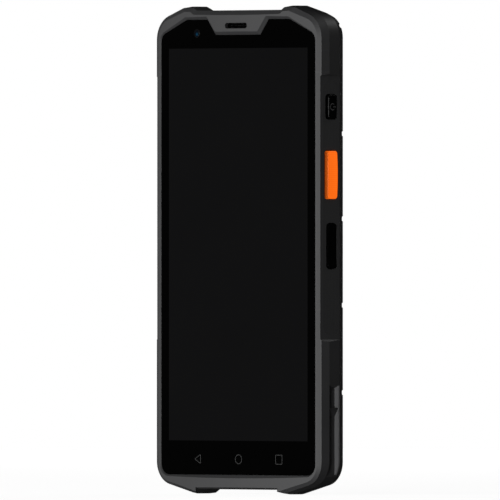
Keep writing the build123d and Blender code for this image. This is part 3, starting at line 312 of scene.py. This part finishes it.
def makeScuffs():
    # hairline scuffs: noise stretched along one way, kept only at its peaks, thinned by a second slow noise
    group, start, end = newGroup("fineScuffs", {"Scale": 120.0, "Amount": 0.5}, ["Mask"])
    place = put(group, "ShaderNodeTexCoord").outputs["Object"]
    turn = put(group, "ShaderNodeMapping")
    turn.inputs["Rotation"].default_value = (0.4, 0.9, 0.3)
    turn.inputs["Scale"].default_value = (1.0, 1.0, 14.0)
    group.links.new(place, turn.inputs["Vector"])
    streak = put(group, "ShaderNodeTexNoise", Detail=2.0)
    group.links.new(turn.outputs[0], streak.inputs["Vector"])
    group.links.new(start.outputs["Scale"], streak.inputs["Scale"])
    patch = put(group, "ShaderNodeTexNoise", Scale=45.0, Detail=1.0)
    group.links.new(place, patch.inputs["Vector"])
    peak = calc(group, "MULTIPLY", calc(group, "SUBTRACT", streak.outputs["Fac"], 0.64), 9.0)
    sharp = calc(group, "MAXIMUM", calc(group, "SMOOTH_MIN", peak, 1.0, 0.1), 0.0)
    kept = calc(group, "MULTIPLY", sharp, calc(group, "GREATER_THAN", patch.outputs["Fac"], 0.55))
    group.links.new(calc(group, "MULTIPLY", kept, start.outputs["Amount"]), end.inputs["Mask"])
    return group


def makeRibs():
    # ribs: a sine of height, one wave for each pitch, raised to 0..1
    group, start, end = newGroup("fineRibs", {"Pitch": 0.65 * mm}, ["Height"])
    axes = put(group, "ShaderNodeSeparateXYZ")
    group.links.new(put(group, "ShaderNodeTexCoord").outputs["Object"], axes.inputs[0])
    turns = calc(group, "DIVIDE", axes.outputs["Z"], start.outputs["Pitch"])
    wave = calc(group, "SINE", calc(group, "MULTIPLY", turns, 2 * math.pi))
    group.links.new(calc(group, "MULTIPLY_ADD", wave, 0.5, 0.5), end.inputs["Height"])
    return group


def makeHatch():
    # diagonal hatch: sine of (y + z) times sine of (y - z), one wave for each pitch, raised to 0..1
    group, start, end = newGroup("diagonalHatch", {"Pitch": 1.1 * mm}, ["Height"])
    axes = put(group, "ShaderNodeSeparateXYZ")
    group.links.new(put(group, "ShaderNodeTexCoord").outputs["Object"], axes.inputs[0])
    waves = []
    for operation in ("ADD", "SUBTRACT"):
        along = calc(group, operation, axes.outputs["Y"], axes.outputs["Z"])
        turns = calc(group, "DIVIDE", along, start.outputs["Pitch"])
        waves.append(calc(group, "SINE", calc(group, "MULTIPLY", turns, 2 * math.pi)))
    product = calc(group, "MULTIPLY", *waves)
    group.links.new(calc(group, "MULTIPLY_ADD", product, 0.5, 0.5), end.inputs["Height"])
    return group


def makeTraces():
    # board tracks: a sine of the distance to square cells, kept where the sine is near its peak
    group, start, end = newGroup("boardTracks", {"Scale": 260.0}, ["Mask"])
    place = put(group, "ShaderNodeTexCoord").outputs["Object"]
    cells = put(group, "ShaderNodeTexVoronoi", distance="CHEBYCHEV")
    group.links.new(place, cells.inputs["Vector"])
    group.links.new(start.outputs["Scale"], cells.inputs["Scale"])
    wave = calc(group, "SINE", calc(group, "MULTIPLY", cells.outputs["Distance"], 30.0))
    group.links.new(calc(group, "GREATER_THAN", wave, 0.72), end.inputs["Mask"])
    return group


effects = {"grain": makeGrain(), "scuffs": makeScuffs(), "ribs": makeRibs(), "hatch": makeHatch(),
           "traces": makeTraces()}


def useEffect(tree, name, **values):
    node = tree.nodes.new("ShaderNodeGroup")
    node.node_tree = effects[name]
    for key, value in values.items():
        node.inputs[key].default_value = value
    return node


def newMaterial(name):
    material = bpy.data.materials.new(name)
    material.use_nodes = True
    return material, material.node_tree, material.node_tree.nodes["Principled BSDF"]


def mixColour(tree, factor, a, b):
    node = put(tree, "ShaderNodeMix", data_type="RGBA")
    tree.links.new(factor, node.inputs["Factor"])
    for socket, value in ((node.inputs[6], a), (node.inputs[7], b)):
        if isinstance(value, tuple):
            socket.default_value = (*value, 1.0)
        else:
            tree.links.new(value, socket)
    return node.outputs[2]


def mouldedPlastic(name, colour, roughness=0.5, cells=2600.0, bump=0.12, specular=0.5, scuffs=0.25,
                   metallic=0.0, vary=0.12, relief=None, reliefDepth=0.05 * mm):
    # colour drifts a little with the slow noise, scuffs lighten and polish it, and fine cells give the grain
    # roughness = the given one - 0.08 + 0.16 * slow noise - 0.12 * scuffs
    material, tree, shader = newMaterial(name)
    grain = useEffect(tree, "grain", Cells=cells)
    marks = useEffect(tree, "scuffs", Amount=scuffs)
    darker = tuple(c * (1 - vary) for c in colour)
    lighter = tuple(c * (1 + vary) for c in colour)
    body = mixColour(tree, grain.outputs["Mottle"], darker, lighter)
    scratched = tuple(min(1.0, c * 1.8 + 0.01) for c in colour)
    worn = mixColour(tree, marks.outputs["Mask"], body, scratched)
    tree.links.new(worn, shader.inputs["Base Color"])
    rough = calc(tree, "MULTIPLY_ADD", grain.outputs["Mottle"], 0.16, roughness - 0.08)
    polish = calc(tree, "MULTIPLY", marks.outputs["Mask"], 0.12)
    tree.links.new(calc(tree, "SUBTRACT", rough, polish), shader.inputs["Roughness"])
    shader.inputs["Specular IOR Level"].default_value = specular
    shader.inputs["Metallic"].default_value = metallic
    height = put(tree, "ShaderNodeBump", Strength=bump)
    height.inputs["Distance"].default_value = 0.05 * mm
    tree.links.new(grain.outputs["Height"], height.inputs["Height"])
    if relief:
        shape = put(tree, "ShaderNodeBump", Strength=0.6)
        shape.inputs["Distance"].default_value = reliefDepth
        tree.links.new(useEffect(tree, relief).outputs["Height"], shape.inputs["Height"])
        tree.links.new(shape.outputs[0], height.inputs["Normal"])
    tree.links.new(height.outputs[0], shader.inputs["Normal"])
    return material


def paint(material, *names):
    for name in names:
        data = nodes[name].data
        data.materials.clear()
        data.materials.append(material)


rimPlastic = mouldedPlastic("rimPlastic", (0.045, 0.045, 0.0465), roughness=0.5)
casePlastic = mouldedPlastic("casePlastic", (0.042, 0.042, 0.043), roughness=0.5, cells=1900.0, bump=0.2)
paint(rimPlastic, "front_frame")
paint(casePlastic, "rear_housing", "battery_cover")
gripRubber = mouldedPlastic("gripRubber", (0.042, 0.042, 0.043), roughness=0.72, cells=1300.0, bump=0.2,
                            specular=0.22, relief="hatch")
paint(gripRubber, "side_grip_right", "side_grip_left", "usb_flap")
keyBlack = mouldedPlastic("keyBlack", (0.0012, 0.0012, 0.0013), roughness=0.3, bump=0.02, specular=0.18,
                          scuffs=0.05)
paint(keyBlack, "power_key", "volume_rocker")


def makeOrangeKey():
    # orange plastic with fine level ribs across its crowned face, and a painted glow
    material, tree, shader = newMaterial("orangeKey")
    ribs = useEffect(tree, "ribs")
    grain = useEffect(tree, "grain", Cells=3000.0, Drift=140.0)
    tone = mixColour(tree, grain.outputs["Mottle"], (0.86, 0.135, 0.008), (1.0, 0.175, 0.014))
    tree.links.new(tone, shader.inputs["Base Color"])
    # painted glow: some of its own colour is added as emission so the key looks brighter than its lamps make
    # it, less between the ribs, and less where the face looks to the front and the key light falls: strength
    # = 0.9 - 0.8 * the larger of -normal y and 0
    facing = put(tree, "ShaderNodeSeparateXYZ")
    tree.links.new(put(tree, "ShaderNodeTexCoord").outputs["Normal"], facing.inputs[0])
    forward = calc(tree, "MAXIMUM", calc(tree, "MULTIPLY", facing.outputs["Y"], -1.0), 0.0)
    tree.links.new(calc(tree, "MULTIPLY_ADD", forward, -0.8, 0.9), shader.inputs["Emission Strength"])
    glow = mixColour(tree, ribs.outputs["Height"], (0.84, 0.115, 0.004), (1.0, 0.165, 0.008))
    tree.links.new(glow, shader.inputs["Emission Color"])
    tree.links.new(calc(tree, "MULTIPLY_ADD", grain.outputs["Mottle"], 0.1, 0.45), shader.inputs["Roughness"])
    shader.inputs["Specular IOR Level"].default_value = 0.2
    height = put(tree, "ShaderNodeBump", Strength=0.35)
    height.inputs["Distance"].default_value = 0.06 * mm
    tree.links.new(ribs.outputs["Height"], height.inputs["Height"])
    tree.links.new(height.outputs[0], shader.inputs["Normal"])
    return material


paint(makeOrangeKey(), "scan_key_right", "scan_key_left")


litArea = {"width": 62.5 * mm, "height": 125.0 * mm, "up": 0.75 * mm, "edge": 0.15 * mm}


def makeCoverGlass(area):
    # black printed glass with the slightly lighter screen behind it, where a box mask is one
    # mask = the smaller distance in from the sides and the ends, over the edge width, clamped to 0..1
    material, tree, shader = newMaterial("coverGlass")
    axes = put(tree, "ShaderNodeSeparateXYZ")
    tree.links.new(put(tree, "ShaderNodeTexCoord").outputs["Object"], axes.inputs[0])
    low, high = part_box("display_panel")
    fromMiddle = calc(tree, "SUBTRACT", axes.outputs["Z"], (low.z + high.z) / 2 + area["up"])
    sideRoom = calc(tree, "SUBTRACT", area["width"] / 2, calc(tree, "ABSOLUTE", axes.outputs["X"]))
    endRoom = calc(tree, "SUBTRACT", area["height"] / 2, calc(tree, "ABSOLUTE", fromMiddle))
    inside = calc(tree, "MULTIPLY", calc(tree, "MINIMUM", sideRoom, endRoom), 1 / area["edge"])
    lit = put(tree, "ShaderNodeClamp")
    tree.links.new(inside, lit.inputs[0])
    smear = useEffect(tree, "grain", Drift=30.0)
    screen = mixColour(tree, smear.outputs["Mottle"], (0.0057, 0.0057, 0.006), (0.0067, 0.0067, 0.007))
    printed = mixColour(tree, lit.outputs[0], (0.001, 0.001, 0.001), screen)
    tree.links.new(printed, shader.inputs["Base Color"])
    rough = calc(tree, "MULTIPLY_ADD", smear.outputs["Mottle"], 0.04, 0.03)
    tree.links.new(rough, shader.inputs["Roughness"])
    shader.inputs["Specular IOR Level"].default_value = 0.25
    return material


paint(makeCoverGlass(litArea), "cover_glass")

sealRubber = mouldedPlastic("sealRubber", (0.012, 0.012, 0.0125), roughness=0.6)
paint(sealRubber, "glass_seal", "housing_seal", "key_seals", "battery_seal")
componentBlack = mouldedPlastic("componentBlack", (0.016, 0.016, 0.017), roughness=0.45)
paint(componentBlack, "front_camera", "proximity_sensor", "earpiece_speaker", "loudspeaker", "scan_engine",
      "rear_camera", "dock_contact_holder", "battery_terminal", "battery_cells", "display_panel",
      "touch_key_strip")
meshSteel = mouldedPlastic("meshSteel", (0.001, 0.001, 0.0011), roughness=0.85, specular=0.0, scuffs=0.0)
paint(meshSteel, "earpiece_mesh", "speaker_mesh")
castMetal = mouldedPlastic("castMetal", (0.55, 0.56, 0.58), roughness=0.4, metallic=1.0)
paint(castMetal, "mid_chassis", "shield_cans", "usb_socket", "usb_hinge_pin", "vibration_motor", "microphone",
      "side_switches", "cover_lock_left", "cover_lock_right")
screwSteel = mouldedPlastic("screwSteel", (0.12, 0.12, 0.125), roughness=0.35, metallic=1.0)
paint(screwSteel, "housing_screws", "board_screws")
contactGold = mouldedPlastic("contactGold", (0.85, 0.55, 0.18), roughness=0.25, metallic=1.0)
paint(contactGold, "dock_contacts", "battery_pads")


def makeBoard():
    # dark green lacquer, with lighter tracks where the track mask is one
    material = mouldedPlastic("boardGreen", (0.01, 0.08, 0.035), roughness=0.3)
    tree = material.node_tree
    shader = tree.nodes["Principled BSDF"]
    lacquer = shader.inputs["Base Color"].links[0].from_socket
    tracks = useEffect(tree, "traces")
    tracked = mixColour(tree, tracks.outputs["Mask"], lacquer, (0.03, 0.17, 0.07))
    tree.links.new(tracked, shader.inputs["Base Color"])
    return material


paint(makeBoard(), "main_board", "sub_board", "key_board_right", "key_board_left")
paint(mouldedPlastic("ribbonFilm", (0.35, 0.13, 0.02), roughness=0.3), "board_ribbon")
# a grey strip on the groove's rear wall, made much lighter than the case as painted light, standing in for
# light the groove shades off
railGreyPaintedLight = mouldedPlastic("railGreyPaintedLight", (0.22, 0.22, 0.225), roughness=0.4, bump=0.05)
paint(railGreyPaintedLight, "rail_strip_right", "rail_strip_left")
paint(mouldedPlastic("bezelMetal", (0.04, 0.04, 0.043), roughness=0.3, metallic=0.6), "camera_ring")
paint(mouldedPlastic("lensGlass", (0.004, 0.005, 0.01), roughness=0.05, bump=0.0), "camera_window")
paint(mouldedPlastic("flashLens", (0.75, 0.72, 0.6), roughness=0.2), "flash_lens")
paint(mouldedPlastic("redWindow", (0.03, 0.002, 0.003), roughness=0.05, bump=0.0), "scan_window")


softening = {"weld": 0.002 * mm, "angle": math.radians(20.0), "segments": 2}
edgeWidths = {"power_key": 0.1 * mm, "volume_rocker": 0.1 * mm,
              "scan_key_right": 0.2 * mm, "scan_key_left": 0.2 * mm}


def softenEdges(name, width):
    # joins the flat faces of a CAD node and rounds its edges a little, so they catch the light
    weld = nodes[name].modifiers.new("joinFaces", "WELD")
    weld.merge_threshold = softening["weld"]
    bevel = nodes[name].modifiers.new("softEdges", "BEVEL")
    bevel.width, bevel.segments = width, softening["segments"]
    bevel.limit_method, bevel.angle_limit = "ANGLE", softening["angle"]
    bevel.use_clamp_overlap = True
    bevel.harden_normals = True


for name, width in edgeWidths.items():
    softenEdges(name, width)
print("surfaces painted")

# ---- small pieces

floorPlan = {"half": 1.2, "drop": 0.1 * mm, "grey": 0.55, "glow": 0.92}


def makeFloor(plan):
    # a square sheet just under the object, with a glow that brings it near the backdrop's white
    half, level = plan["half"], -plan["drop"]
    corners = [[-half, -half, level], [half, -half, level], [half, half, level], [-half, half, level]]
    floor = meshObject("floor", np.array(corners), [[0, 1, 2, 3]])
    material, _, shader = newMaterial("floorPaint")
    shader.inputs["Base Color"].default_value = (plan["grey"], plan["grey"], plan["grey"], 1)
    shader.inputs["Roughness"].default_value = 0.9
    shader.inputs["Specular IOR Level"].default_value = 0.0
    shader.inputs["Emission Color"].default_value = (1, 1, 1, 1)
    shader.inputs["Emission Strength"].default_value = plan["glow"]
    floor.data.materials.append(material)
    floor.visible_glossy = False
    floor.visible_diffuse = False
    floor.visible_shadow = False


makeFloor(floorPlan)


# the three touch signs under the screen: an open triangle, circle and square
touchSigns = {"up": 4.95 * mm, "size": 2.85 * mm, "line": 0.2 * mm, "lift": 0.02 * mm,
              "backX": -18.0 * mm, "homeX": 0.2 * mm, "recentX": 18.3 * mm,
              "triangleCorner": 0.15 * mm, "squareCorner": 0.2 * mm}
touchPaint = mouldedPlastic("markPaint", (0.0165, 0.0165, 0.017), roughness=0.6, bump=0.0)


def touchSign(name, centreX, shape):
    # a thin closed line on the glass face, following a path in X and Z
    path, side = shape
    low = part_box("cover_glass")[0]
    centreZ = low.z + touchSigns["up"]
    points = np.stack([path[:, 0] + centreX, np.full(len(path), low.y), path[:, 1] + centreZ], -1)
    sideways = np.stack([side[:, 0], np.zeros(len(side)), side[:, 1]], -1)
    outward = np.array([0, -1.0, 0])
    bead = beadShape(points, outward, sideways, touchSigns["line"], 2 * touchSigns["lift"])
    piece = beadObject(name, [bead])
    piece.data.materials.append(touchPaint)
    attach(piece, "case")


def circlePath(radius, steps):
    # closed path: the points of a circle, and the outward direction at each of them
    angle = np.linspace(0, 2 * np.pi, steps + 1)[:-1]
    ring = np.stack([np.cos(angle), np.sin(angle)], -1)
    return ring * radius, ring


half = touchSigns["size"] / 2
triangle = [(half * 0.75, half), (half * 0.75, -half), (-half * 1.05, 0.0)]
square = [(half, half), (-half, half), (-half, -half), (half, -half)]
touchSign("navBack", touchSigns["backX"], roundedPolygon(triangle, touchSigns["triangleCorner"]))
touchSign("navHome", touchSigns["homeX"], circlePath(half, 48))
touchSign("navRecent", touchSigns["recentX"], roundedPolygon(square, touchSigns["squareCorner"]))
print("touch signs made")


# the two camera lenses: a shallow dome on a face of its node, with rings round it
# "look" is the way the face looks along Y, and the rings' radii are given in lens radii
# each lens's "glow" is the colour of a painted glint, low on the lens
lensPlan = {
    "frontCameraLens": {"node": "cover_glass", "x": -18.5 * mm, "drop": 8.6 * mm, "look": -1,
                        "radius": 1.15 * mm, "rise": 0.03 * mm, "ring": 0.12 * mm,
                        "ringRadii": (1.08,), "glow": (0.006, 0.05, 0.1)},
    "rearCameraLens": {"node": "camera_window", "x": 10.0 * mm, "drop": 30.0 * mm, "look": 1,
                       "radius": 1.9 * mm, "rise": 0.06 * mm, "ring": 0.22 * mm,
                       "ringRadii": (1.12, 1.55, 2.05), "glow": (0.02, 0.015, 0.07)},
}


def makeLensGlintPaint(name, centre, radius, glow):
    # painted reflection: colour by distance from a point low on the lens, the glow (a painted glint of the
    # coating) at the point, near black half way, dark grey at the rim
    material, tree, shader = newMaterial(name)
    place = put(tree, "ShaderNodeTexCoord").outputs["Object"]
    gap = put(tree, "ShaderNodeVectorMath", operation="DISTANCE")
    tree.links.new(place, gap.inputs[0])
    gap.inputs[1].default_value = centre - Vector((0, 0, radius * 0.25))
    share = calc(tree, "DIVIDE", gap.outputs["Value"], radius * 1.3)
    ramp = put(tree, "ShaderNodeValToRGB")
    ramp.color_ramp.elements[0].color = (*glow, 1)
    ramp.color_ramp.elements[1].color = (0.006, 0.0065, 0.0075, 1)
    middle = ramp.color_ramp.elements.new(0.5)
    middle.color = (0.0015, 0.0025, 0.005, 1)
    tree.links.new(share, ramp.inputs[0])
    tree.links.new(ramp.outputs[0], shader.inputs["Base Color"])
    grain = useEffect(tree, "grain", Drift=900.0)
    rough = calc(tree, "MULTIPLY_ADD", grain.outputs["Mottle"], 0.05, 0.02)
    tree.links.new(rough, shader.inputs["Roughness"])
    shader.inputs["Coat Weight"].default_value = 0.2
    return material


def rings(name, centre, radii, width, height, look, material):
    # flat rings round a line along Y, all in one object: each is a closed bead of the same profile
    shapes = []
    for radius in radii:
        path, side = circlePath(radius, 64)
        points = np.stack([path[:, 0], np.zeros(len(path)), path[:, 1]], -1) + np.array(centre)
        sideways = np.stack([side[:, 0], np.zeros(len(side)), side[:, 1]], -1)
        shapes.append(beadShape(points, np.array([0.0, look, 0.0]), sideways, width, height))
    piece = beadObject(name, shapes)
    piece.data.materials.append(material)
    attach(piece, "case")
    return piece


ringDark = mouldedPlastic("lensRingDark", (0.006, 0.006, 0.0065), roughness=0.6, specular=0.1, bump=0.03)
ringMetal = mouldedPlastic("lensRing", (0.02, 0.02, 0.022), roughness=0.35, metallic=0.4, bump=0.03)
ringPaints = {"frontCameraLens": ringDark, "rearCameraLens": ringMetal}
for name, one in lensPlan.items():
    low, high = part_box(one["node"])
    faceY = low.y if one["look"] < 0 else high.y
    centre = Vector((one["x"], faceY, cadBox[1].z - one["drop"]))
    lens = dome(name, np.array(centre), one["look"], one["radius"], one["rise"], circles=8, spokes=48)
    lens.data.materials.append(makeLensGlintPaint(name + "Paint", centre, one["radius"], one["glow"]))
    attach(lens, "case")
    radii = [one["radius"] * share for share in one["ringRadii"]]
    collar = rings(name + "Rings", centre, radii, one["ring"], one["rise"], one["look"], ringPaints[name])

flashPlan = {"radii": [0.45 * mm, 0.85 * mm, 1.25 * mm, 1.65 * mm], "width": 0.2 * mm, "height": 0.08 * mm}
flashPaint = mouldedPlastic("flashSteps", (0.85, 0.82, 0.7), roughness=0.15, bump=0.02)
flashLow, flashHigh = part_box("flash_lens")
flashCentre = Vector(((flashLow.x + flashHigh.x) / 2, flashHigh.y, (flashLow.z + flashHigh.z) / 2))
flashSteps = rings("flashSteps", flashCentre, flashPlan["radii"], flashPlan["width"], flashPlan["height"], 1,
                   flashPaint)
print("lenses made")


# the power sign on the key: an arc open towards the back of the case, and a bar in its opening
powerSign = {"radius": 1.0 * mm, "line": 0.24 * mm, "lift": 0.02 * mm, "forward": 0.1 * mm,
             "opening": 0.75, "barFrom": 0.25 * mm, "barTo": 1.45 * mm}
powerPaint = mouldedPlastic("signPaint", (0.11, 0.11, 0.112), roughness=0.5, bump=0.0)


def powerLine(name, path, side):
    # a thin open line on the outer face of the power key, following a path in Y and Z
    low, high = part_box("power_key")
    middle = np.array([high.x, (high.y + low.y) / 2 - powerSign["forward"], (low.z + high.z) / 2])
    points = np.stack([np.zeros(len(path)), path[:, 0], path[:, 1]], -1) + middle
    sideways = np.stack([np.zeros(len(side)), side[:, 0], side[:, 1]], -1)
    outward = np.array([1.0, 0, 0])
    bead = beadShape(points, outward, sideways, powerSign["line"], 2 * powerSign["lift"], closed=False)
    piece = beadObject(name, [bead])
    piece.data.materials.append(powerPaint)
    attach(piece, "power_key")


turns = np.linspace(powerSign["opening"], 2 * np.pi - powerSign["opening"], 40)
around = np.stack([np.cos(turns), np.sin(turns)], -1)
powerLine("powerArc", around * powerSign["radius"], around)
bar = np.stack([np.linspace(powerSign["barFrom"], powerSign["barTo"], 4), np.zeros(4)], -1)
powerLine("powerBar", bar, np.tile([0.0, 1.0], (4, 1)))
print("power sign made")


# turn marks beside the coin locks: an arc with a plain arrow head, on the outside of the battery cover
# the arc runs from one angle to the other, in radians, and its last steps widen into the arrow head
lockMarks = {"gap": 1.1 * mm, "line": 0.28 * mm, "lift": 0.03 * mm, "from": 0.5, "to": 1.7,
             "steps": 18, "headSteps": 4, "headWidth": 3.2, "tipWidth": 0.4}
lockPaint = mouldedPlastic("lockMarkPaint", (0.16, 0.16, 0.165), roughness=0.55, bump=0.02)


def lockMark(name, node, hand):
    # line width = 1 along the arc, then falling evenly from the head's width to the tip's, in line widths
    low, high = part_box(node)
    middle = np.array([(low.x + high.x) / 2, high.y, (low.z + high.z) / 2])
    radius = (high.x - low.x) / 2 + lockMarks["gap"]
    turn = np.linspace(lockMarks["from"], lockMarks["to"], lockMarks["steps"])
    turn = np.pi / 2 + hand * (turn - np.pi / 2)
    ring = np.stack([np.cos(turn), np.zeros(len(turn)), np.sin(turn)], -1)
    step = np.arange(len(turn))
    headStart = len(turn) - lockMarks["headSteps"]
    head = np.interp(step, [headStart, len(turn) - 1], [lockMarks["headWidth"], lockMarks["tipWidth"]])
    width = np.where(step < headStart, 1.0, head)
    bead = beadShape(middle + ring * radius, np.array([0, 1.0, 0]), ring * width[:, None], lockMarks["line"],
                     2 * lockMarks["lift"], closed=False)
    piece = beadObject(name, [bead])
    piece.data.materials.append(lockPaint)
    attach(piece, "battery_pack")


lockMark("lockMarkLeft", "cover_lock_left", 1)
lockMark("lockMarkRight", "cover_lock_right", -1)
print("lock marks made")
